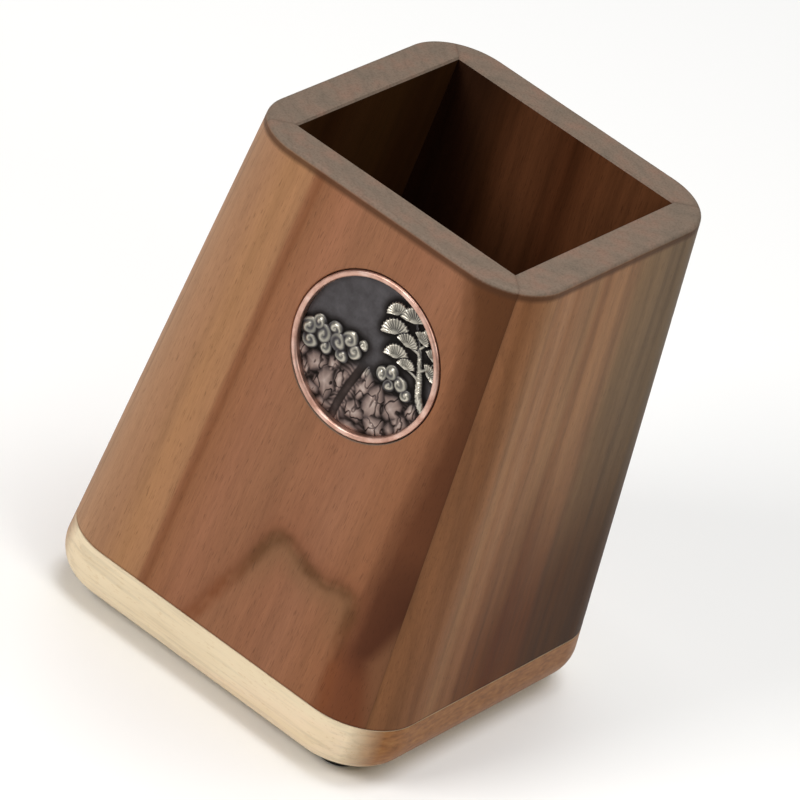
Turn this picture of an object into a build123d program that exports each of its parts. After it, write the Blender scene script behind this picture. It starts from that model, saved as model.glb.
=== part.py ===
"""Brush holder pot: a tapered square pot of four mitred walnut boards on a pale maple base plate.

A round cast medallion in a copper bezel is let into the front board, and four rubber feet are
stuck under the base plate. Units are millimetres. The frame stands at the middle of the
footprint, on the surface that the feet rest on, with +Z up and the medallion towards -Y.
"""

from build123d import *
from math import atan2, degrees
import os

# Overall pot
BASE_WIDTH = 85.0            # square footprint, measured at the base plate's underside
TOP_WIDTH = 70.0             # square outside width at the rim
BODY_HEIGHT = 110.0          # base plate's underside to the rim
CORNER_RADIUS_BASE = 14.5    # upright outer corners, at the underside
CORNER_RADIUS_TOP = 13.0     # upright outer corners, at the rim

# Walnut boards
BOARD_THICKNESS = 8.0
RIM_OUTER_RADIUS = 1.0       # worked round the outside of the rim
MOUTH_EASING = 0.4           # small chamfer round the mouth

# Maple base plate
BASE_THICKNESS = 12.0
BASE_EDGE_RADIUS = 7.0       # rounding of the lower edge
TONGUE_HEIGHT = 3.0          # raised middle that locates the four boards
TONGUE_CLEARANCE = 0.15      # gap between the tongue and the boards, filled by the glue
SEAM_RADIUS = 0.25           # both sides of the seam between walnut and maple are just eased

# Medallion, let into the front board
MEDALLION_ACROSS = 8.7       # its centre's distance from the board's middle, towards +X
MEDALLION_HEIGHT = 82.0      # its centre's height above the base plate's underside
BEZEL_RADIUS = 16.8
BEZEL_WIDTH = 1.25
BEZEL_PROUD = 0.35           # how far the bezel stands out of the wood
BEZEL_CROWN_RADIUS = 0.5
POCKET_DEPTH = 2.6
POCKET_CLEARANCE = 0.2       # gap round the bezel
POCKET_EASING = 0.3          # rounding of the pocket's mouth
PAD_THICKNESS = 0.5
PAD_MARGIN = 1.0
DISC_THICKNESS = 1.3
DISC_CLEARANCE = 0.05

# Rubber feet
FOOT_RADIUS = 4.5
FOOT_HEIGHT = 2.0
FOOT_OFFSET = 30.0           # foot centre's distance from both middle planes
FOOT_EDGE_RADIUS = 0.6

# Heights in the part's frame
UNDERSIDE = FOOT_HEIGHT
SEAM = UNDERSIDE + BASE_THICKNESS
RIM = UNDERSIDE + BODY_HEIGHT

LEAN = degrees(atan2((BASE_WIDTH - TOP_WIDTH) / 2, BODY_HEIGHT))


def along_taper(at_base, at_top, height):
    """Value at a height in the part's frame, changing evenly from the underside to the rim."""
    return at_base + (at_top - at_base) * (height - UNDERSIDE) / BODY_HEIGHT


def outer_width(height):
    return along_taper(BASE_WIDTH, TOP_WIDTH, height)


def inner_width(height):
    return outer_width(height) - 2 * BOARD_THICKNESS


def corner_radius(height):
    return along_taper(CORNER_RADIUS_BASE, CORNER_RADIUS_TOP, height)


def save(piece, name):
    """Label a finished piece and write it as the STEP file of the same name."""
    piece.part.label = name
    export_step(piece.part, f"parts/{name}.step")


os.makedirs("parts", exist_ok=True)

# The medallion's plane lies on the front board's leaning face, with its normal pointing outwards.
face_setback = outer_width(UNDERSIDE + MEDALLION_HEIGHT) / 2
medallion_plane = Plane(
    origin=(MEDALLION_ACROSS, -face_setback, UNDERSIDE + MEDALLION_HEIGHT),
    x_dir=(1, 0, 0),
    z_dir=Vector(0, -1, 0).rotate(Axis.X, -LEAN),
)
pocket_axis = Axis(medallion_plane.origin, medallion_plane.z_dir)

# The four boards, glued up and shaped as one box before the joints are traced: the outside is a
# taper with round corners, and the hollow is a taper with sharp corners.
with BuildPart() as walnut_box:
    for height in (SEAM, RIM):
        with BuildSketch(Plane.XY.offset(height)):
            RectangleRounded(outer_width(height), outer_width(height), corner_radius(height))
    loft()
    fillet(walnut_box.faces().sort_by(Axis.Z)[-1].edges(), RIM_OUTER_RADIUS)
    fillet(walnut_box.faces().sort_by(Axis.Z)[0].edges(), SEAM_RADIUS)
    for height in (SEAM, RIM):
        with BuildSketch(Plane.XY.offset(height)):
            Rectangle(inner_width(height), inner_width(height))
    loft(mode=Mode.SUBTRACT)
    rim_face = walnut_box.faces().sort_by(Axis.Z)[-1]
    chamfer(rim_face.inner_wires()[0].edges(), MOUTH_EASING)

# Each board is the quarter of that box between two upright 45 degree mitre planes. Only the front
# board has the medallion's pocket.
for name, turn in (("front_panel", 0), ("right_panel", 90), ("back_panel", 180), ("left_panel", 270)):
    mitres = [Plane.XZ.rotated((0, 0, turn + side)) for side in (-45, 45)]
    with BuildPart() as panel:
        add(walnut_box.part)
        split(bisect_by=mitres[0], keep=Keep.TOP)
        split(bisect_by=mitres[1], keep=Keep.TOP)
        if name == "front_panel":
            with BuildSketch(medallion_plane):
                Circle(BEZEL_RADIUS + POCKET_CLEARANCE)
            extrude(amount=-POCKET_DEPTH, mode=Mode.SUBTRACT)
            mouth = panel.edges().filter_by(GeomType.CIRCLE).sort_by(pocket_axis)[-1]
            fillet(mouth, POCKET_EASING)
    save(panel, name)

# The base plate carries on the boards' taper, has a well rounded lower edge, and locates the
# boards with a low square tongue that stands up into the hollow.
with BuildPart() as base_plate:
    for height in (UNDERSIDE, SEAM):
        with BuildSketch(Plane.XY.offset(height)):
            RectangleRounded(outer_width(height), outer_width(height), corner_radius(height))
    loft()
    fillet(base_plate.faces().sort_by(Axis.Z)[0].edges(), BASE_EDGE_RADIUS)
    fillet(base_plate.faces().sort_by(Axis.Z)[-1].edges(), SEAM_RADIUS)
    tongue_width = inner_width(SEAM + TONGUE_HEIGHT) - 2 * TONGUE_CLEARANCE
    with BuildSketch(Plane.XY.offset(SEAM)):
        Rectangle(tongue_width, tongue_width)
    extrude(amount=TONGUE_HEIGHT)
save(base_plate, "base_plate")

# The bezel is a turned ring pressed into the pocket, with a rounded crown that stands proud.
with BuildPart() as bezel:
    with BuildSketch(medallion_plane.offset(-POCKET_DEPTH)):
        Circle(BEZEL_RADIUS)
        Circle(BEZEL_RADIUS - BEZEL_WIDTH, mode=Mode.SUBTRACT)
    extrude(amount=POCKET_DEPTH + BEZEL_PROUD)
    crown = bezel.faces().sort_by(pocket_axis)[-1]
    fillet(crown.edges(), BEZEL_CROWN_RADIUS)
save(bezel, "medallion_bezel")

# The cast disc lies inside the bezel, on a foam pad that is sticky on both sides.
disc_radius = BEZEL_RADIUS - BEZEL_WIDTH - DISC_CLEARANCE
with BuildPart() as disc:
    with BuildSketch(medallion_plane.offset(PAD_THICKNESS - POCKET_DEPTH)):
        Circle(disc_radius)
    extrude(amount=DISC_THICKNESS)
save(disc, "medallion_disc")

with BuildPart() as pad:
    with BuildSketch(medallion_plane.offset(-POCKET_DEPTH)):
        Circle(disc_radius - PAD_MARGIN)
    extrude(amount=PAD_THICKNESS)
save(pad, "medallion_pad")

# Four self-adhesive feet, one near each corner of the underside, rounded where they meet the desk.
for name, side_x, side_y in (
    ("foot_front_left", -1, -1),
    ("foot_front_right", 1, -1),
    ("foot_back_left", -1, 1),
    ("foot_back_right", 1, 1),
):
    with BuildPart() as foot:
        with BuildSketch(Plane.XY):
            with Locations((side_x * FOOT_OFFSET, side_y * FOOT_OFFSET)):
                Circle(FOOT_RADIUS)
        extrude(amount=FOOT_HEIGHT)
        fillet(foot.faces().sort_by(Axis.Z)[0].edges(), FOOT_EDGE_RADIUS)
    save(foot, name)
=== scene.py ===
"""Brush holder pot in walnut and maple: its looks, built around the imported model."""

import math

import bpy
import numpy as np
from mathutils import Matrix, Vector


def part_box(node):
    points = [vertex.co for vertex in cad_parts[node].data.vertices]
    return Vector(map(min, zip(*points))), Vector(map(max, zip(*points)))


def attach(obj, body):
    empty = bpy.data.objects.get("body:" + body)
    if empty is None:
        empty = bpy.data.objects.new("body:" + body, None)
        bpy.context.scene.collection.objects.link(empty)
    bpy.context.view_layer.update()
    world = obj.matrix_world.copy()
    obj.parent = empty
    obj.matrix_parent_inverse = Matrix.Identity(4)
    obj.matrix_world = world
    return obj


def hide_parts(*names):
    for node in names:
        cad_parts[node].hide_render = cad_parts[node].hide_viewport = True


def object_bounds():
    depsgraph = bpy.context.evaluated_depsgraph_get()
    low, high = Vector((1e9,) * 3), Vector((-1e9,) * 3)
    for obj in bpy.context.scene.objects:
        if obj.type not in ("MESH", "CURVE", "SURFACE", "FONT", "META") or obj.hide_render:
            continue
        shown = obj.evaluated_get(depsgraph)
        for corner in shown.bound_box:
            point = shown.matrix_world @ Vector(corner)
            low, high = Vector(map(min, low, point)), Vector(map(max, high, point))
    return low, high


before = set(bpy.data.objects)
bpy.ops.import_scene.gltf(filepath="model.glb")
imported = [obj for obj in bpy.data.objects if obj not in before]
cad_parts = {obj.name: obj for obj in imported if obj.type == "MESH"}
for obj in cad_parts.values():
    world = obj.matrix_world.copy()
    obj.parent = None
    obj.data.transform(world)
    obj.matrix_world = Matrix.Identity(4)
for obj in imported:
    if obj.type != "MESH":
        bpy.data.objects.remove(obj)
cad_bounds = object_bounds()
MM = 0.001


# ---------------------------------------------------------------------------------------------
# Camera. A long lens looks down at the near corner from the front right, and is rolled to the
# left, so that the pot seems to lean over to the right.
# ---------------------------------------------------------------------------------------------

CAMERA_AZIMUTH = math.radians(26.07)
CAMERA_ELEVATION = math.radians(30.79)
CAMERA_ROLL = math.radians(21.0)
CAMERA_DISTANCE = 1.374
LENS_LENGTH = 316.0
AIM_POINT = Vector((0.0, 0.0, 52 * MM))
AIM_SHIFT = (1.89 * MM, 2.85 * MM)


def camera_axes(azimuth, elevation, roll):
    """The camera's right, up and backward directions, turned about the backward one by roll."""
    back = Vector((
        math.sin(azimuth) * math.cos(elevation),
        -math.cos(azimuth) * math.cos(elevation),
        math.sin(elevation),
    ))
    level = Vector((math.cos(azimuth), math.sin(azimuth), 0.0))
    upright = back.cross(level)
    right = level * math.cos(roll) + upright * math.sin(roll)
    up = upright * math.cos(roll) - level * math.sin(roll)
    return right, up, back


cam_right, cam_up, cam_back = camera_axes(CAMERA_AZIMUTH, CAMERA_ELEVATION, CAMERA_ROLL)
camera = bpy.data.objects.new("camera", bpy.data.cameras.new("camera"))
camera.data.lens = LENS_LENGTH
camera.data.sensor_width = 36.0
camera.data.clip_start = 0.05
camera.data.clip_end = 50.0
camera.matrix_world = Matrix.Translation(
    AIM_POINT + cam_right * AIM_SHIFT[0] + cam_up * AIM_SHIFT[1] + cam_back * CAMERA_DISTANCE
) @ Matrix((cam_right, cam_up, cam_back)).transposed().to_4x4()
bpy.context.scene.collection.objects.link(camera)
bpy.context.scene.camera = camera


# ---------------------------------------------------------------------------------------------
# Base plate. A 12 mm plate of pale maple, routed to a round lower edge and oiled. Its grain runs
# from side to side, so its left and right sides are end grain, which drinks oil and turns brown.
# ---------------------------------------------------------------------------------------------


def linear(code):
    """An sRGB hex colour as the linear red, green, blue and alpha that shaders work in."""
    channels = np.array([int(code[i:i + 2], 16) for i in (0, 2, 4)]) / 255
    curve = np.where(channels <= 0.04045, channels / 12.92, ((channels + 0.055) / 1.055) ** 2.4)
    return (*curve.tolist(), 1.0)


def grey(level):
    """A plain grey of the given linear level."""
    return (level, level, level, 1.0)


def add(tree, kind, settings, *values, **named):
    """Adds a shader node and gives its first live output. settings holds the node's own
    properties, with a ramp's stops as (place, colour) pairs, or is just its operation. values
    fill the live inputs in order, and named ones go by name, with _ for a space. Each of them is
    a number, a vector, a colour or another node's output."""
    node = tree.nodes.new("ShaderNode" + kind)
    if isinstance(settings, str):
        settings = {"operation": settings}
    for key, setting in settings.items():
        if key == "stops":
            stops = node.color_ramp.elements
            stops.remove(stops[-1])
            for place, colour in setting[1:]:
                stops.new(place).color = colour
            stops[0].position, stops[0].color = setting[0]
        elif key == "interpolation":
            node.color_ramp.interpolation = setting
        else:
            setattr(node, key, setting)
    live = [socket for socket in node.inputs if socket.enabled]
    chosen = [node.inputs[key.replace("_", " ")] for key in named]
    for socket, value in zip(live[:len(values)] + chosen, values + tuple(named.values())):
        if isinstance(value, bpy.types.NodeSocket):
            tree.links.new(value, socket)
        else:
            socket.default_value = value
    return next((output for output in node.outputs if output.enabled), None)


def new_material(name):
    """An empty node material and its tree."""
    material = bpy.data.materials.new(name)
    material.use_nodes = True
    material.node_tree.nodes.clear()
    return material, material.node_tree


BLEND = {"data_type": "RGBA"}                               # lays one colour over another
TINT = {"data_type": "RGBA", "blend_type": "MULTIPLY"}      # multiplies one colour by another


def object_space(tree, turn=0.0):
    """Object coordinates in millimetres, turned about Z so that a board's outside faces -Y."""
    place = add(tree, "TexCoord", {}).node.outputs["Object"]
    return add(tree, "Mapping", {}, place, Rotation=(0.0, 0.0, -turn),
               Scale=(1 / MM, 1 / MM, 1 / MM))


def surface_direction(tree, turn=0.0):
    """The direction that the surface faces, turned about Z in the same way."""
    normal = add(tree, "TexCoord", {}).node.outputs["Normal"]
    return add(tree, "Mapping", {"vector_type": "NORMAL"}, normal, Rotation=(0.0, 0.0, -turn))


def grain(tree, space, cell, detail, seed):
    """Wood figure: noise from 0 to 1 whose patches measure about cell = (x, y, z) millimetres."""
    scaled = add(tree, "Mapping", {}, space, Location=(seed * 7.3, seed * 3.1, seed * 5.7),
                 Scale=tuple(1 / side for side in cell))
    return add(tree, "TexNoise", {}, scaled, Scale=1.0, Detail=detail, Roughness=0.55)


def paint(material, *nodes):
    """Gives CAD nodes a material in place of their plain one."""
    for name in nodes:
        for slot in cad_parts[name].material_slots:
            slot.material = material


def maple():
    """Hard maple under oil: cream, with soft clouds 30 mm long, fine grain lines 1 mm apart and
    tiny brown flecks. End grain, where the surface faces sideways, is brown and mottled, and fades
    out as the surface turns up or down. The shine is satin."""
    material, tree = new_material("oiled_maple")
    space = object_space(tree)
    facing = surface_direction(tree)
    clouds = grain(tree, space, (34.0, 9.0, 7.0), 2.0, 1)
    lines = grain(tree, space, (22.0, 2.2, 0.9), 3.0, 2)
    flecks = grain(tree, space, (1.6, 0.35, 0.35), 2.0, 3)
    colour = add(tree, "ValToRGB", {"stops": [
        (0.30, linear("e0ccab")), (0.48, linear("e6d4b4")), (0.62, linear("e8d2b3")),
        (0.8, linear("e0cba6")),
    ]}, clouds)
    streaks = add(tree, "ValToRGB", {"stops": [
        (0.35, grey(0.88)), (0.5, grey(1.0)), (0.7, grey(1.03)),
    ]}, lines)
    colour = add(tree, "Mix", TINT, 1.0, colour, streaks)
    fleck = add(tree, "ValToRGB", {"stops": [(0.60, grey(0.0)), (0.70, grey(0.35))]}, flecks)
    colour = add(tree, "Mix", BLEND, fleck, colour, linear("c9a878"))
    mottle = grain(tree, space, (9.0, 2.4, 0.8), 3.0, 4)
    end_grain = add(tree, "ValToRGB", {"stops": [
        (0.30, linear("7d4f27")), (0.52, linear("936032")), (0.75, linear("a5723e")),
    ]}, mottle)
    level = add(tree, "VectorMath", "MULTIPLY", facing, (1.0, 1.0, 0.0))
    level = add(tree, "VectorMath", "NORMALIZE", level)
    side_on = add(tree, "Math", "ABSOLUTE", add(tree, "SeparateXYZ", {}, level))
    side_on = add(tree, "ValToRGB", {"stops": [(0.55, grey(0.0)), (0.90, grey(1.0))]}, side_on)
    upward = add(tree, "Math", "ABSOLUTE", add(tree, "SeparateXYZ", {}, facing).node.outputs[2])
    steep = add(tree, "ValToRGB", {"stops": [(0.55, grey(1.0)), (0.92, grey(0.0))]}, upward)
    end_mask = add(tree, "Math", "MULTIPLY", side_on, steep)
    colour = add(tree, "Mix", BLEND, end_mask, colour, end_grain)
    bump = add(tree, "Bump", {}, Strength=0.12, Distance=0.2 * MM, Height=lines)
    shader = add(tree, "BsdfPrincipled", {}, Base_Color=colour, Roughness=0.45, IOR=1.48,
                 Specular_IOR_Level=0.22, Normal=bump)
    add(tree, "OutputMaterial", {}, shader)
    return material


paint(maple(), "base_plate")


# ---------------------------------------------------------------------------------------------
# Walnut boards. Four 8 mm boards, mitred, glued, rounded at the corners and finished with a
# satin oil. Each has its own grain: the front one shows an arch low down, where the saw just
# grazed one growth ring, and the right one, cut on the quarter, has straight streaks.
# ---------------------------------------------------------------------------------------------

BOARD_SPAN = 90.0           # millimetres, as are all these, of width that a row of bands covers
FACE_AT_FLOOR = 42.64       # from the pot's middle to a board's face, carried down to the floor
FACE_LEAN = 7.5 / 110       # how far a face leans inwards for its height
RING_SPACING = 3.3          # growth in a year
GRAIN_MIDDLE = 62.0         # height at which the bands stand where their places say
RIM_HEIGHT = cad_bounds[1][2] / MM
SEAM_HEIGHT = 14.0          # where the boards stand on the base plate
# colour of the glue line at the mitre and of the painted shade along the seam
GLUE_AND_SEAM_SHADE = "2c1a12"


def walnut(name, turn, bands, pith, seed, stain, slant, wander, contrast, figure=None):
    """Black walnut under satin oil. Colour bands run up the board at millimetres from its middle,
    slant with its height and wander sideways. Growth rings are cylinders about the pith, which is
    (across, behind, climb with height). Over them lie streaks 3 mm wide and pores, which are dark
    dashes 0.15 by 4 mm. Fibres are too fine to show, so they are drawn 0.3 mm wide. The inside
    of the board is darkened as painted shade of the hollow, the end grain on the rim is greyer
    and lighter by a painted sheen, and a dark line of painted shade lies under its rounded edge."""
    material, tree = new_material(name)
    space = object_space(tree, turn)
    facing = surface_direction(tree, turn)
    height = add(tree, "SeparateXYZ", {}, space).node.outputs[2]
    drift = grain(tree, space, (34.0, 34.0, 80.0), 3.0, seed)
    upright = add(tree, "VectorMath", "DOT_PRODUCT", space, (1.0, 0.0, -slant))
    across = add(tree, "Math", "MULTIPLY_ADD", drift, wander, upright)
    across = add(tree, "Math", "ADD", across, slant * GRAIN_MIDDLE - wander / 2)
    place = add(tree, "Math", "MULTIPLY_ADD", across, 1 / BOARD_SPAN, 0.5)
    colour = add(tree, "ValToRGB", {"stops": [
        ((shift + BOARD_SPAN / 2) / BOARD_SPAN, linear(code)) for shift, code in bands
    ]}, place)

    # growth rings
    depth = add(tree, "VectorMath", "DOT_PRODUCT", space, (0.0, 1.0, pith[2]))
    level = add(tree, "CombineXYZ", {}, across, depth, 0.0)
    radius = add(tree, "VectorMath", "DISTANCE", level, (pith[0], pith[1], 0.0))
    uneven = grain(tree, space, (24.0, 24.0, 110.0), 2.0, seed + 1)
    years = add(tree, "Math", "DIVIDE", radius, RING_SPACING)
    years = add(tree, "Math", "MULTIPLY_ADD", uneven, 2.5, years)
    season = add(tree, "Math", "FRACT", years)
    late_wood = add(tree, "ValToRGB", {"stops": [
        (0.0, grey(0.95)), (0.50, grey(1.03)), (0.84, grey(0.88)), (0.94, grey(0.78)),
        (1.0, grey(0.95)),
    ]}, season)
    colour = add(tree, "Mix", TINT, 0.55 * contrast, colour, late_wood)

    # streaks, fibres and pores, all long and upright
    along = add(tree, "CombineXYZ", {}, across, depth, height)
    streaks = grain(tree, along, (3.0, 4.5, 150.0), 3.0, seed + 2)
    streak = add(tree, "ValToRGB", {"stops": [
        (0.30, grey(1 - 0.30 * contrast)), (0.5, grey(1.0)), (0.70, grey(1 + 0.18 * contrast)),
    ]}, streaks)
    colour = add(tree, "Mix", TINT, 1.0, colour, streak)
    fibres = grain(tree, along, (0.30, 0.30, 9.0), 3.0, seed + 3)
    fibre = add(tree, "ValToRGB", {"stops": [(0.3, grey(0.91)), (0.7, grey(1.07))]}, fibres)
    colour = add(tree, "Mix", TINT, 1.0, colour, fibre)
    # the board's own figure, or on the right board painted shade towards its foot
    if figure is not None:
        colour = figure(tree, colour, space, across, height)
    pores = grain(tree, along, (0.15, 0.15, 4.0), 1.0, seed + 4)
    pore = add(tree, "ValToRGB", {"stops": [(0.62, grey(0.0)), (0.70, grey(0.32))]}, pores)
    colour = add(tree, "Mix", BLEND, pore, colour, linear("3a2418"))

    # painted shade: the inside of the hollow, 7 to 7.8 mm behind the outside and further, is
    # darkened by the board's stain colour, which stands for the shade in the hollow
    within = add(tree, "VectorMath", "DOT_PRODUCT", space, (0.0, 1.0, -FACE_LEAN))
    within = add(tree, "Math", "ADD", within, FACE_AT_FLOOR)
    within = add(tree, "Math", "MULTIPLY", within, 0.1)
    inside = add(tree, "ValToRGB", {"stops": [(0.70, grey(0.0)), (0.78, grey(1.0))]}, within)
    painted_cavity_shade = add(tree, "Mix", TINT, 1.0, colour, linear(stain))
    colour = add(tree, "Mix", BLEND, inside, colour, painted_cavity_shade)

    # the rim: a dark line of painted shade 0.4 to 2.4 mm under it on the outside, and grey brown
    # end grain above, greyed and lightened by a painted sheen
    upward = add(tree, "SeparateXYZ", {}, facing).node.outputs[2]
    below_rim = add(tree, "Math", "MULTIPLY_ADD", height, 0.1, 1.0 - 0.1 * RIM_HEIGHT)
    under_rim_shade = add(tree, "ValToRGB", {"stops": [
        (0.76, grey(0.0)), (0.85, grey(0.80)), (0.92, grey(0.80)), (0.96, grey(0.0)),
    ]}, below_rim)
    outside = add(tree, "Math", "SUBTRACT", 1.0, inside)
    under_rim_shade = add(tree, "Math", "MULTIPLY", under_rim_shade, outside)
    colour = add(tree, "Mix", BLEND, under_rim_shade, colour, linear("4a2f1e"))
    mottle = grain(tree, space, (5.0, 5.0, 30.0), 3.0, seed + 5)
    end_grain = add(tree, "ValToRGB", {"stops": [
        (0.30, linear("6e6155")), (0.5, linear("756558")), (0.7, linear("7c6557")),
    ]}, mottle)
    end_grain = add(tree, "Mix", TINT, 0.35, end_grain, late_wood)
    speckle = grain(tree, space, (0.45, 0.45, 0.45), 2.0, seed + 6)
    speckle = add(tree, "ValToRGB", {"stops": [(0.34, grey(0.84)), (0.55, grey(1.04))]}, speckle)
    end_grain = add(tree, "Mix", TINT, 1.0, end_grain, speckle)
    end_mask = add(tree, "ValToRGB", {"stops": [(0.22, grey(0.0)), (0.55, grey(1.0))]}, upward)
    colour = add(tree, "Mix", BLEND, end_mask, colour, end_grain)

    # the glue line at the mitre, where a place is as far across as it is forward, and at the foot a
    # dark line of painted shade along the seam on the base plate
    corner = add(tree, "VectorMath", "ABSOLUTE", space)
    corner = add(tree, "SeparateXYZ", {}, corner)
    gap = add(tree, "Math", "SUBTRACT", corner, corner.node.outputs[1])
    gap = add(tree, "Math", "ABSOLUTE", gap)
    glue = add(tree, "ValToRGB", {"stops": [
        (0.0, grey(0.30)), (0.25, grey(0.12)), (1.0, grey(0.0)),
    ]}, gap)
    colour = add(tree, "Mix", BLEND, glue, colour, linear(GLUE_AND_SEAM_SHADE))
    # painted shade: a dark line 0.6 mm high just above the seam on the base plate
    above_seam = add(tree, "Math", "SUBTRACT", height, SEAM_HEIGHT)
    seam_shade = add(tree, "ValToRGB", {"stops": [(0.0, grey(0.5)), (0.6, grey(0.0))]}, above_seam)
    colour = add(tree, "Mix", BLEND, seam_shade, colour, linear(GLUE_AND_SEAM_SHADE))

    # the surface: raised fibres, sunken pores, and a finish that is duller on the pale streaks
    relief = add(tree, "Math", "MULTIPLY", pore, -1.0)
    relief = add(tree, "Math", "MULTIPLY_ADD", fibres, 0.4, relief)
    bump = add(tree, "Bump", {}, Strength=0.25, Distance=0.12 * MM, Height=relief)
    rough = add(tree, "Math", "MULTIPLY_ADD", streaks, 0.12, 0.42)
    shader = add(tree, "BsdfPrincipled", {}, Base_Color=colour, Roughness=rough, IOR=1.47,
                 Specular_IOR_Level=0.06, Normal=bump)
    add(tree, "OutputMaterial", {}, shader)
    return material


HEARTWOOD_START = 24.2      # how far across the front board's dark wedge starts
HEARTWOOD_FLARE = 74.0      # the height above which the wedge widens
STRIP_HEIGHT = 28.0         # where the light strip beside the mitre is widest
ARCH_LEFT = -8.8            # how far across the arch's left leg would meet the floor
ARCH_RIGHT = 32.0           # and its right leg
ARCH_CROWN = 41.4           # the height of its crown


def front_figure(tree, colour, space, across, height):
    """The front board's own figure. A dark wedge of heartwood lies along its right edge. Its edge
    is soft, and is HEARTWOOD_START less a parabola above HEARTWOOD_FLARE. At the foot, it reaches
    to the arch's right leg and is redder, with a light strip beside the mitre. The arch is where
    the least of three slopes is nought: its left leg, its right leg and its sagging crown. It is
    a soft, patchy, dark line, redder above it and more olive just below its crown."""
    fray = grain(tree, space, (2.2, 2.2, 5.0), 4.0, 71)
    fray = add(tree, "Math", "MULTIPLY_ADD", fray, 4.0, -2.0)
    over = add(tree, "Math", "SUBTRACT", height, HEARTWOOD_FLARE)
    over = add(tree, "Math", "MAXIMUM", over, 0.0)
    over = add(tree, "Math", "MULTIPLY", over, over)
    wedge = add(tree, "Math", "MULTIPLY_ADD", over, 0.0060, across)
    wedge = add(tree, "Math", "MULTIPLY_ADD", fray, 0.5, wedge)
    wedge = add(tree, "Math", "MULTIPLY_ADD", wedge, 0.1, -0.1 * HEARTWOOD_START)
    heart = add(tree, "ValToRGB", {"interpolation": "EASE", "stops": [
        (0.24, grey(0.0)), (0.48, grey(0.50)), (0.75, grey(0.96)), (1.0, grey(1.0)),
    ]}, wedge)
    level = add(tree, "Math", "MULTIPLY", height, 0.01)
    depth = add(tree, "ValToRGB", {"stops": [
        (0.14, linear("6d4028")), (0.23, linear("683c25")), (0.30, linear("482718")),
        (0.43, linear("4b2a1a")), (0.54, linear("603924")), (0.72, linear("5a3521")),
        (1.0, linear("5a3720")),
    ]}, level)
    colour = add(tree, "Mix", BLEND, heart, colour, depth)

    # the foot, red brown from the arch's right leg on, and the light strip
    right = add(tree, "Math", "MULTIPLY_ADD", height, -0.13, ARCH_RIGHT)
    right = add(tree, "Math", "SUBTRACT", right, across)
    foot = add(tree, "Math", "MULTIPLY_ADD", right, 0.05, 0.5)
    foot = add(tree, "ValToRGB", {"stops": [(0.48, grey(1.0)), (0.53, grey(0.0))]}, foot)
    low = add(tree, "ValToRGB", {"interpolation": "EASE", "stops": [
        (0.25, grey(1.0)), (0.33, grey(0.0)),
    ]}, level)
    foot = add(tree, "Math", "MULTIPLY", foot, low)
    colour = add(tree, "Mix", BLEND, foot, colour, depth)
    strip = add(tree, "Math", "SUBTRACT", height, STRIP_HEIGHT)
    strip = add(tree, "Math", "ABSOLUTE", strip)
    strip = add(tree, "Math", "MULTIPLY_ADD", strip, 0.3, 32.6)
    strip = add(tree, "Math", "SUBTRACT", across, strip)
    strip = add(tree, "Math", "MULTIPLY_ADD", strip, 0.1, 0.5)
    strip = add(tree, "ValToRGB", {"interpolation": "EASE", "stops": [
        (0.50, grey(0.0)), (0.85, grey(0.85)),
    ]}, strip)
    colour = add(tree, "Mix", BLEND, strip, colour, linear("7b543a"))

    # the arch
    left = add(tree, "Math", "SUBTRACT", across, ARCH_LEFT)
    left = add(tree, "Math", "MULTIPLY_ADD", height, -0.38, left)
    sag = add(tree, "Math", "MULTIPLY_ADD", across, 0.36, -6.2)
    sag = add(tree, "Math", "COSINE", sag)
    crown = add(tree, "Math", "SUBTRACT", ARCH_CROWN, height)
    crown = add(tree, "Math", "MULTIPLY_ADD", across, -0.12, crown)
    crown = add(tree, "Math", "MULTIPLY_ADD", sag, -0.9, crown)
    arch = add(tree, "Math", "SMOOTH_MIN", left, right, 4.0)
    arch = add(tree, "Math", "SMOOTH_MIN", arch, crown, 2.5)
    arch = add(tree, "Math", "MULTIPLY_ADD", fray, 0.45, arch)
    arch = add(tree, "Math", "MULTIPLY_ADD", arch, 0.04, 0.5)
    high = add(tree, "ValToRGB", {"interpolation": "EASE", "stops": [
        (0.22, grey(0.0)), (0.38, grey(1.0)),
    ]}, level)
    olive = add(tree, "ValToRGB", {"interpolation": "EASE", "stops": [
        (0.46, grey(0.0)), (0.54, grey(0.62)), (0.85, grey(0.0)),
    ]}, arch)
    olive = add(tree, "Math", "MULTIPLY", olive, high)
    colour = add(tree, "Mix", BLEND, olive, colour, linear("79593e"))
    red = add(tree, "ValToRGB", {"interpolation": "EASE", "stops": [
        (0.0, grey(0.0)), (0.30, grey(0.15)), (0.46, grey(0.45)), (0.50, grey(0.0)),
    ]}, arch)
    colour = add(tree, "Mix", BLEND, red, colour, linear("74452e"))
    line = add(tree, "ValToRGB", {"interpolation": "EASE", "stops": [
        (0.39, grey(0.0)), (0.49, grey(0.84)), (0.51, grey(0.84)), (0.61, grey(0.0)),
    ]}, arch)
    patch = grain(tree, space, (4.0, 4.0, 6.0), 2.0, 72)
    patch = add(tree, "ValToRGB", {"stops": [(0.35, grey(0.45)), (0.60, grey(1.0))]}, patch)
    line = add(tree, "Math", "MULTIPLY", line, patch)
    ink = add(tree, "Mix", BLEND, high, linear("77462b"), linear("5d3d25"))
    return add(tree, "Mix", BLEND, line, colour, ink)


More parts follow.
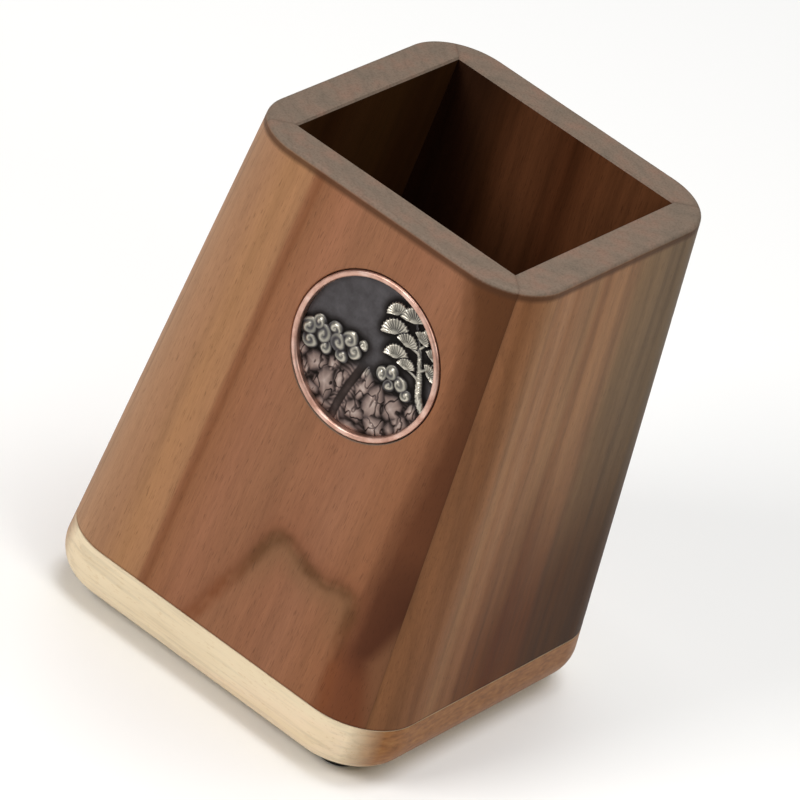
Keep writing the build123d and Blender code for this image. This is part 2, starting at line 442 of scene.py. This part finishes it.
def right_painted_shade(tree, colour, space, across, height):
    """Painted shade on the right board: it turns darker and browner towards its foot, except along
    its near edge.
    Noise makes the height at which it does so uneven, and it is higher up at the far edge."""
    cloud = grain(tree, space, (9.0, 9.0, 45.0), 2.0, 83)
    uneven = add(tree, "Math", "MULTIPLY_ADD", cloud, -0.25, 0.125)
    level = add(tree, "Math", "MULTIPLY_ADD", height, 0.01, uneven)
    level = add(tree, "Math", "MULTIPLY_ADD", across, -0.002, level)
    low = add(tree, "ValToRGB", {"interpolation": "EASE", "stops": [
        (0.20, grey(1.0)), (0.85, grey(0.0)),
    ]}, level)
    place = add(tree, "Math", "MULTIPLY_ADD", across, 1 / BOARD_SPAN, 0.5)
    far = add(tree, "ValToRGB", {"interpolation": "EASE", "stops": [
        (0.14, grey(0.0)), (0.44, grey(1.0)),
    ]}, place)
    depth = add(tree, "Math", "MULTIPLY", low, far)
    painted_shade_colour = add(tree, "Mix", TINT, 1.0, colour, linear("a98766"))
    return add(tree, "Mix", BLEND, depth, colour, painted_shade_colour)


FRONT_BANDS = (             # millimetres across from the board's middle, colour
    (-44, "9e7b5d"), (-34, "a77f60"), (-27, "9d7456"), (-22, "a37753"), (-17.4, "a07452"),
    (-16.4, "895b3f"), (-15.2, "7b4e33"), (-14.0, "8c5e41"), (-8, "96664b"), (0, "8e6247"),
    (10, "8e6046"), (16, "92644a"), (24, "8c5e42"), (32, "83553a"), (40, "794e35"),
)
# On the right board the bands from 9 mm across to the far edge are darker and greyer: painted shade
# and a painted grey reflection.
RIGHT_BANDS = (
    (-42, "795234"), (-36, "7d5437"), (-31, "81573a"), (-29, "795033"), (-26, "8e6343"),
    (-23, "9b7250"), (-20, "936949"), (-17, "a17756"), (-14.5, "8d6445"), (-11, "9b7251"),
    (-7, "936e4e"), (-4.5, "886042"), (0, "9a7251"), (5, "8f6a4c"), (9, "806549"),
    (18, "776149"), (26, "6e5a43"), (40, "65503a"),
)
# On the back board the dark bands from 13 to 30 mm across lie on the left part of its inside, where
# the left board casts its shadow: painted shadow, which darkens its outside too.
BACK_BANDS = (
    (-42, "7a553a"), (-30, "8a6346"), (-20, "966d50"), (-10, "8c6347"), (-4, "775037"),
    (4, "8c6449"), (9, "7f5a41"), (13, "62442f"), (17, "523a2a"), (24, "463226"),
    (30, "4e3628"), (36, "63422e"), (42, "6a4630"),
)
LEFT_BANDS = (
    (-42, "7a553a"), (-28, "8d6548"), (-18, "7e5940"), (-9, "96704f"), (2, "9c7456"),
    (12, "885f43"), (20, "987052"), (30, "a97f5e"), (42, "a47d5c"),
)

# stain is each board's painted shade for the inside of the hollow, darkest on the left board, whose
# inside faces away from the key lamp
paint(walnut("oiled_walnut_front", 0.0, FRONT_BANDS, pith=(15.0, 10.0, -0.02), seed=11,
             stain="a08470", slant=0.026, wander=1.2, contrast=0.35, figure=front_figure),
      "front_panel")
paint(walnut("oiled_walnut_right", math.radians(90), RIGHT_BANDS, pith=(150.0, 60.0, 0.0), seed=23,
             stain="8a705c", slant=-0.015, wander=2.0, contrast=0.8, figure=right_painted_shade),
      "right_panel")
paint(walnut("oiled_walnut_back", math.radians(180), BACK_BANDS, pith=(-8.0, 5.0, -0.02), seed=37,
             stain="b29a88", slant=0.01, wander=4.0, contrast=0.9),
      "back_panel")
paint(walnut("oiled_walnut_left", math.radians(270), LEFT_BANDS, pith=(-120.0, 50.0, 0.02), seed=41,
             stain="766953", slant=0.02, wander=4.0, contrast=0.7),
      "left_panel")


# ---------------------------------------------------------------------------------------------
# Medallion. A copper plated bezel is pressed into the front board's pocket. In it, on a foam pad,
# lies a disc cast in zinc alloy with a made-up landscape in low relief: clouds, crags and a pine.
# The casting was blackened and then rubbed, so that its high places are pale.
# ---------------------------------------------------------------------------------------------

DISC_RADIUS = 15.5          # millimetres, as are all measures of the relief
DISC_BACK = 1.3             # how far the flat back lies behind the CAD disc's face
SKY_BACK = 0.45             # how far the flat sky lies behind it
CELLS = 300                 # grid points each way over the disc
RUB_PASSES = 140            # how often each height is evened out with those beside it


def smooth_step(values, low, high):
    """0 below low and 1 above high, easing in and out between them."""
    t = np.clip((values - low) / (high - low), 0, 1)
    return t * t * (3 - 2 * t)


def lumps(x, y, size, seed, layers=3):
    """Value noise from 0 to 1: random heights on a square lattice of the given size, eased from
    one lattice point to the next. Each further layer is half the size and half the height."""
    table = np.random.default_rng(seed).random((64, 64))
    total = np.zeros_like(x)
    for layer in range(layers):
        u = x * 2 ** layer / size + 11.3 * layer
        v = y * 2 ** layer / size + 5.9 * layer
        i = np.floor(u).astype(int)
        j = np.floor(v).astype(int)
        s = smooth_step(u - i, 0, 1)
        t = smooth_step(v - j, 0, 1)
        corner = [[table[(i + a) % 64, (j + b) % 64] for b in (0, 1)] for a in (0, 1)]
        near = corner[0][0] * (1 - s) + corner[1][0] * s
        far = corner[0][1] * (1 - s) + corner[1][1] * s
        total += (near * (1 - t) + far * t) / 2 ** layer
    return total / (2 - 2 ** (1 - layers))


def curve_points(points, count=60):
    """Places evenly spread along the Bezier curve that the control points pull."""
    t = np.linspace(0, 1, count)[:, None]
    reach = [np.array(point, dtype=float) * np.ones((count, 2)) for point in points]
    while len(reach) > 1:
        reach = [a * (1 - t) + b * t for a, b in zip(reach, reach[1:])]
    return reach[0]


def limb(x, y, points, thick, thin, height):
    """A round branch: a half round profile about a curve, from thick to thin along it."""
    path = curve_points(points)
    halves = np.linspace(thick, thin, len(path))
    spans = [np.clip(1 - ((x - px) ** 2 + (y - py) ** 2) / half ** 2, 0, 1)
             for (px, py), half in zip(path, halves)]
    return height * np.max([half / thick * np.sqrt(span)
                            for span, half in zip(spans, halves)], axis=0)


def curl(x, y, cx, cy, radius, hand, start):
    """A cloud curl: a low dome with one groove that winds from its edge to its middle."""
    dx, dy = x - cx, y - cy
    d = np.hypot(dx, dy) / radius
    winding = np.cos(2 * np.pi * 1.35 * d - hand * np.arctan2(dy, dx) + start)
    dome = np.clip(1 - d ** 2, 0, 1) ** 0.42
    groove = 0.10 * winding * smooth_step(1 - d, 0.0, 0.25) * smooth_step(d, 0.0, 0.2)
    return dome * (0.40 + 0.085 * radius) + groove


def crag(x, y, cx, cy, width, height, lift, seed):
    """A rock: a lift that falls away from its middle to the nearest of seven straight sides, so
    that it has flat facets, with cracks where noise is near its middle value."""
    rng = np.random.default_rng(seed)
    wx = x - cx + 0.5 * (lumps(x, y, 2.2, seed + 1) - 0.5)
    wy = y - cy + 0.5 * (lumps(x, y, 2.2, seed + 2) - 0.5)
    turns = np.arange(7) * 2 * np.pi / 7 + rng.uniform(-0.35, 0.35, 7)
    reach = rng.uniform(0.75, 1.15, 7)
    away = np.max([(wx / width * np.cos(turn) + wy / height * np.sin(turn)) / side
                   for turn, side in zip(turns, reach)], axis=0)
    crack = np.abs(lumps(wx, wy * 0.55, 1.5, seed + 3, 2) - 0.5)
    face = np.clip(1 - away, 0, 1) ** 0.55
    return lift * face - 0.16 * (1 - smooth_step(crack, 0.0, 0.07)) * smooth_step(face, 0.1, 0.5)


def needles(x, y, cx, cy, radius, turn, spread):
    """A pad of pine needles: a fan about its stalk, fluted along its rays and scalloped outside."""
    dx, dy = x - cx, y - cy
    d = np.hypot(dx, dy) / radius
    angle = np.arctan2(dy, dx) - turn
    angle = (angle + np.pi) % (2 * np.pi) - np.pi
    edge = 1 - 0.07 * np.abs(np.sin(angle * 12))
    inside = smooth_step(edge - d, 0.0, 0.12) * smooth_step(spread - np.abs(angle), 0.0, 0.18)
    flute = 0.5 + 0.5 * np.cos(angle * 24 + 1.5 * np.sin(d * 5))
    swell = 0.22 * np.sin(np.clip(d, 0, 1) * np.pi * 0.8)
    return inside * (0.46 + swell - 0.17 * flute * smooth_step(d, 0.12, 0.35))


PUFFS = (      # middle x and y, radius, hand of the curl, where its groove starts
    (-13.6, -1.9, 2.1, 1, 0.5), (-11.9, 0.1, 1.7, -1, 2.0), (-10.2, -1.6, 2.3, 1, 1.0),
    (-8.3, 0.7, 1.8, -1, 0.3), (-6.6, -1.2, 2.2, 1, 2.4), (-4.6, 0.6, 2.0, 1, 1.2),
    (-2.9, -1.0, 1.7, -1, 0.2), (-12.4, -4.2, 1.9, -1, 1.0), (-9.0, -3.6, 1.7, 1, 0.0),
    (-5.2, -3.2, 1.6, -1, 2.0), (-1.6, 1.2, 1.1, 1, 1.1), (4.2, -1.3, 1.5, 1, 0.5),
    (6.2, -0.1, 1.7, -1, 1.8), (8.4, -1.2, 1.8, 1, 0.1), (6.4, -2.6, 1.4, 1, 1.4),
    (10.4, -2.6, 1.4, -1, 2.2),
)
CRAGS = (      # middle x and y, half width, half height, lift
    (-9.6, -7.6, 3.0, 2.8, 0.62), (-6.2, -9.6, 2.6, 3.8, 0.70), (-11.4, -10.2, 2.6, 2.6, 0.50),
    (-5.9, -5.9, 1.9, 1.9, 0.55), (1.9, -6.4, 2.4, 3.4, 0.66), (5.0, -7.9, 2.9, 4.2, 0.80),
    (8.9, -6.6, 2.6, 3.4, 0.68), (2.0, -11.6, 2.8, 3.0, 0.62), (6.8, -12.0, 3.4, 3.0, 0.70),
    (11.6, -8.6, 2.4, 3.2, 0.60), (12.9, -4.6, 1.9, 2.6, 0.55), (-13.6, -7.0, 2.0, 2.4, 0.45),
    (-8.4, -12.8, 2.2, 2.0, 0.52), (-5.4, -14.0, 2.2, 1.7, 0.45), (1.6, -15.0, 2.4, 1.5, 0.45),
    (10.0, -10.8, 2.2, 2.2, 0.50), (0.6, -3.4, 1.3, 1.9, 0.45), (-3.6, -7.6, 1.6, 3.0, 0.48),
)
TRUNK = ((15.5, -3.4), (11.2, -1.6), (13.4, 3.2), (9.6, 4.4), (9.9, 8.6), (6.2, 12.6))
BOUGHS = (     # points that pull the curve, radius at its foot and at its tip
    (((12.1, 1.4), (10.2, 3.0), (7.4, 1.8), (5.4, 3.4)), 0.42, 0.16),
    (((11.2, 3.6), (13.0, 5.0), (13.4, 6.6), (14.0, 8.0)), 0.40, 0.16),
    (((9.8, 6.6), (7.4, 7.0), (5.6, 6.4), (3.6, 7.6)), 0.40, 0.15),
    (((9.6, 7.8), (10.8, 9.4), (11.0, 10.6), (11.6, 11.4)), 0.36, 0.15),
)
PADS = (       # stalk x and y, radius, turn, half spread
    (5.6, 3.0, 3.2, 1.95, 1.45), (8.3, 2.2, 2.5, 1.7, 1.4), (3.6, 7.2, 3.6, 2.1, 1.5),
    (6.7, 6.4, 3.0, 1.6, 1.4), (13.0, 7.0, 2.7, 1.35, 1.5), (12.9, 3.8, 2.5, 0.9, 1.4),
    (11.1, 10.3, 2.8, 1.5, 1.5), (6.4, 11.4, 3.6, 1.9, 1.5), (2.7, 10.9, 2.9, 2.2, 1.4),
    (9.0, 9.0, 2.3, 1.2, 1.4),
)
RAVINE = ((0.2, 2.6), (1.0, -3.0), (-2.2, -6.0), (-2.4, -15.5))


def landscape(x, y):
    """Height in millimetres of a made-up landscape over the disc's flat sky, and where it is rock.
    The height is the highest of the ripples, crags, curls, trunk, boughs and pads at each place,
    and a ravine cuts the land."""
    foot = smooth_step(-y, 1.5, 5.0)
    ripples = foot * (0.14 + 0.04 * np.cos(2 * np.pi * (y / 1.1 + 2.5 * lumps(x, y, 2.6, 4, 2))))
    rock = ripples
    for i, (cx, cy, width, height, lift) in enumerate(CRAGS):
        rock = np.maximum(rock, crag(x, y, cx, cy, width, height, lift, 20 + 5 * i))
    drift_x = x + 0.7 * (lumps(x, y, 2.6, 8, 2) - 0.5)
    drift_y = y + 0.7 * (lumps(x, y, 2.6, 9, 2) - 0.5)
    cloud = np.max([curl(drift_x, drift_y, *puff) for puff in PUFFS], axis=0)
    path = curve_points(RAVINE)
    gap = np.min([np.hypot(x - px, y - py) for px, py in path], axis=0)
    depth = smooth_step(gap, 0.35, 1.10)
    water = 0.04 * np.cos(2 * np.pi * gap / 0.42) - 0.20
    land = np.maximum(rock, cloud) * depth + water * (1 - depth)
    tree = limb(x, y, TRUNK, 1.0, 0.35, 0.72)
    tree = tree - 0.07 * (tree > 0.05) * np.cos(10 * np.pi * lumps(x, y, 1.3, 7, 2))
    for points, thick, thin in BOUGHS:
        tree = np.maximum(tree, limb(x, y, points, thick, thin, 0.5))
    for pad in PADS:
        tree = np.maximum(tree, needles(x, y, *pad))
    sky = 0.025 * lumps(x, y, 5.0, 1, 3) + 0.012 * (lumps(x, y, 0.35, 3, 2) - 0.5)
    rosy = smooth_step(rock - np.maximum(cloud, tree), 0.0, 0.06) * foot
    return sky + np.maximum(land, tree), rosy


def relief_disc(name, node):
    """The cast disc in place of a CAD disc. A square grid u, v from -1 to 1 is squeezed into a
    circle by x = u sqrt(1 - v v / 2) and y = v sqrt(1 - u u / 2), and lifted by the landscape.
    Its outline is carried down to a flat back. Two attributes go with it: how rubbed a place is,
    which grows as it stands out from what is round it, and whether it is rock."""
    line = np.linspace(-1, 1, CELLS)
    v, u = np.meshgrid(line, line, indexing="ij")
    x = DISC_RADIUS * u * np.sqrt(1 - v ** 2 / 2)
    y = DISC_RADIUS * v * np.sqrt(1 - u ** 2 / 2)
    lift, rock = landscape(x, y)

    around = lift.copy()
    for _ in range(RUB_PASSES):
        padded = np.pad(around, 1, mode="edge")
        around = (padded[:-2, 1:-1] + padded[2:, 1:-1] + padded[1:-1, :-2] + padded[1:-1, 2:]) / 4
    rubbed = np.clip(0.24 + 1.7 * (lift - around) + 0.16 * lift, 0, 1)

    low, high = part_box(node)
    middle = (np.array(low) + np.array(high)) / 2
    lean = math.atan(FACE_LEAN)
    rightward = np.array((1.0, 0.0, 0.0))
    upward = np.array((0.0, math.sin(lean), math.cos(lean)))
    outward = np.array((0.0, -math.cos(lean), math.sin(lean)))
    face = middle + outward * 0.5 * DISC_BACK * MM

    index = np.arange(CELLS ** 2).reshape(CELLS, CELLS)
    quads = np.stack([index[:-1, :-1], index[:-1, 1:], index[1:, 1:], index[1:, :-1]], -1)
    quads = quads.reshape(-1, 4)
    ring = np.concatenate([index[0, :-1], index[:-1, -1], index[-1, :0:-1], index[:0:-1, 0]])
    below = CELLS ** 2 + np.arange(len(ring))
    wall = np.stack([np.roll(ring, -1), ring, below, np.roll(below, -1)], -1)
    hub = CELLS ** 2 + len(ring)
    back = np.stack([np.roll(below, -1), below, np.full(len(ring), hub)], -1)

    def placed(across, up, out):
        """Points in the pot, from millimetres across, up and out from the CAD disc's face."""
        flat = np.stack([across.ravel(), up.ravel(), out.ravel()], -1) * MM
        return face + flat @ np.stack([rightward, upward, outward])

    points = np.concatenate([
        placed(x, y, lift - SKY_BACK),
        placed(x.ravel()[ring], y.ravel()[ring], np.full(len(ring), -DISC_BACK)),
        placed(np.zeros(1), np.zeros(1), np.full(1, -DISC_BACK)),
    ])
    mesh = bpy.data.meshes.new(name)
    mesh.from_pydata(points.tolist(), [], quads.tolist() + wall.tolist() + back.tolist())
    for key, values in (("rubbed", rubbed), ("rock", rock)):
        column = np.concatenate([values.ravel(), np.zeros(len(ring) + 1)]).astype(np.float32)
        mesh.attributes.new(key, "FLOAT", "POINT").data.foreach_set("value", column)
    mesh.shade_smooth()
    mesh.set_sharp_from_angle(angle=math.radians(60))
    piece = bpy.data.objects.new(name, mesh)
    bpy.context.scene.collection.objects.link(piece)
    return piece


def antiqued_zinc_casting():
    """Zinc alloy, blackened in its hollows and rubbed back on its high places: near black to a
    pale warm silver, rosy where patina stays on rock. The rubbed metal is also smoother. The
    casting skin's pits are 0.12 mm wide."""
    material, tree = new_material("antiqued_zinc_casting")
    rubbed = add(tree, "Attribute", {"attribute_name": "rubbed"}).node.outputs["Fac"]
    rock = add(tree, "Attribute", {"attribute_name": "rock"}).node.outputs["Fac"]
    space = object_space(tree)
    stain = grain(tree, space, (2.5, 2.5, 2.5), 4.0, 90)
    pits = grain(tree, space, (0.12, 0.12, 0.12), 2.0, 91)
    shown = add(tree, "Math", "SUBTRACT", rubbed, 0.08)
    shown = add(tree, "Math", "MULTIPLY_ADD", stain, 0.16, shown)
    plain = add(tree, "ValToRGB", {"stops": [
        (0.0, linear("15110f")), (0.16, linear("363232")), (0.27, linear("545153")),
        (0.42, linear("7d7a72")), (0.65, linear("b3ada0")), (1.0, linear("e6e0d2")),
    ]}, shown)
    rosy = add(tree, "ValToRGB", {"stops": [
        (0.0, linear("140e0c")), (0.16, linear("382e2b")), (0.27, linear("5c4e4b")),
        (0.42, linear("8c7971")), (0.65, linear("baa89f")), (1.0, linear("e8dad0")),
    ]}, shown)
    colour = add(tree, "Mix", BLEND, rock, plain, rosy)
    rough = add(tree, "ValToRGB", {"stops": [(0.1, grey(0.62)), (0.6, grey(0.36))]}, shown)
    bump = add(tree, "Bump", {}, Strength=0.3, Distance=0.03 * MM, Height=pits)
    shader = add(tree, "BsdfPrincipled", {}, Base_Color=colour, Metallic=0.85, Roughness=rough,
                 Normal=bump)
    add(tree, "OutputMaterial", {}, shader)
    return material


landscape_disc = relief_disc("landscape_disc", "medallion_disc")
landscape_disc.data.materials.append(antiqued_zinc_casting())
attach(landscape_disc, "root")
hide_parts("medallion_disc")


def buffed_copper():
    """Copper plate, lightly buffed: rosy and bright, with soft smears of tarnish. The marks of
    the buff are too fine to show, so they are drawn 0.15 mm wide."""
    material, tree = new_material("buffed_copper")
    space = object_space(tree)
    smear = grain(tree, space, (3.0, 3.0, 3.0), 4.0, 95)
    scratch = grain(tree, space, (0.15, 0.15, 0.15), 2.0, 96)
    colour = add(tree, "ValToRGB", {"stops": [
        (0.30, linear("b08575")), (0.5, linear("cfa796")), (0.72, linear("e2c3b6")),
    ]}, smear)
    rough = add(tree, "Math", "MULTIPLY_ADD", smear, -0.14, 0.50)
    bump = add(tree, "Bump", {}, Strength=0.15, Distance=0.02 * MM, Height=scratch)
    shader = add(tree, "BsdfPrincipled", {}, Base_Color=colour, Metallic=1.0, Roughness=rough,
                 Normal=bump)
    add(tree, "OutputMaterial", {}, shader)
    return material


def pored_plastic(name, code, cell, roughness):
    """A dull moulded or foamed plastic: one colour that varies a little, with pores cell
    millimetres across as bumps."""
    material, tree = new_material(name)
    pores = grain(tree, object_space(tree), (cell, cell, cell), 3.0, 97)
    level = add(tree, "ValToRGB", {"stops": [(0.3, grey(0.7)), (0.7, grey(1.15))]}, pores)
    colour = add(tree, "Mix", TINT, 1.0, linear(code), level)
    bump = add(tree, "Bump", {}, Strength=0.35, Distance=0.05 * MM, Height=pores)
    shader = add(tree, "BsdfPrincipled", {}, Base_Color=colour, Roughness=roughness, IOR=1.5,
                 Normal=bump)
    add(tree, "OutputMaterial", {}, shader)
    return material


paint(buffed_copper(), "medallion_bezel")
paint(pored_plastic("foam_tape", "c9c7c0", 0.35, 0.95), "medallion_pad")


# ---------------------------------------------------------------------------------------------
# Feet. Four black rubber discs, 9 mm across and 2 mm high, moulded with a fine matt grain and
# stuck under the base plate's corners.
# ---------------------------------------------------------------------------------------------

paint(pored_plastic("moulded_black_rubber", "1c1b1a", 0.22, 0.78),
      "foot_front_left", "foot_front_right", "foot_back_left", "foot_back_right")


# ---------------------------------------------------------------------------------------------
# Floor and light. A plain white sweep, a soft key lamp high on the front left, a wide overhead
# one that whitens the floor, and a small one close to the right that fades down the right board.
# ---------------------------------------------------------------------------------------------

FLOOR_HALF = 4.0            # metres
FLOOR_CORNERS = ((-1, -1), (1, -1), (1, 1), (-1, 1))
LAMP_AIM = Vector((0.0, 0.0, 55 * MM))

floor_mesh = bpy.data.meshes.new("floor")
floor_mesh.from_pydata(
    [(x * FLOOR_HALF, y * FLOOR_HALF, 0.0) for x, y in FLOOR_CORNERS], [], [(0, 1, 2, 3)])
floor = bpy.data.objects.new("floor", floor_mesh)
bpy.context.scene.collection.objects.link(floor)
white_paper, tree = new_material("white_paper")
shader = add(tree, "BsdfPrincipled", {}, Base_Color=linear("f8f7f5"), Roughness=0.9,
             Specular_IOR_Level=0.2)
add(tree, "OutputMaterial", {}, shader)
floor_mesh.materials.append(white_paper)


def soft_lamp(name, place, size, power, colour):
    """A square area lamp that faces the pot's middle and isn't seen itself."""
    lamp = bpy.data.objects.new(name, bpy.data.lights.new(name, "AREA"))
    lamp.data.shape = "SQUARE"
    lamp.data.size = size
    lamp.data.energy = power
    lamp.data.color = colour
    lamp.location = place
    lamp.visible_camera = False
    lamp.rotation_mode = "QUATERNION"
    lamp.rotation_quaternion = (LAMP_AIM - Vector(place)).to_track_quat("-Z", "Y")
    bpy.context.scene.collection.objects.link(lamp)


soft_lamp("key", (-0.45, -1.02, 0.76), 0.5, 9.5, (1.0, 0.99, 0.975))
soft_lamp("overhead", (0.0, 0.25, 1.5), 1.3, 20.5, (0.98, 0.99, 1.0))
soft_lamp("side", (0.21, -0.09, 0.27), 0.12, 0.22, (1.0, 0.97, 0.93))

world = bpy.data.worlds.new("studio")
world.use_nodes = True
world.node_tree.nodes["Background"].inputs[0].default_value = (0.97, 0.98, 1.0, 1.0)
world.node_tree.nodes["Background"].inputs[1].default_value = 0.10
bpy.context.scene.world = world
bpy.context.scene.view_settings.view_transform = "Standard"
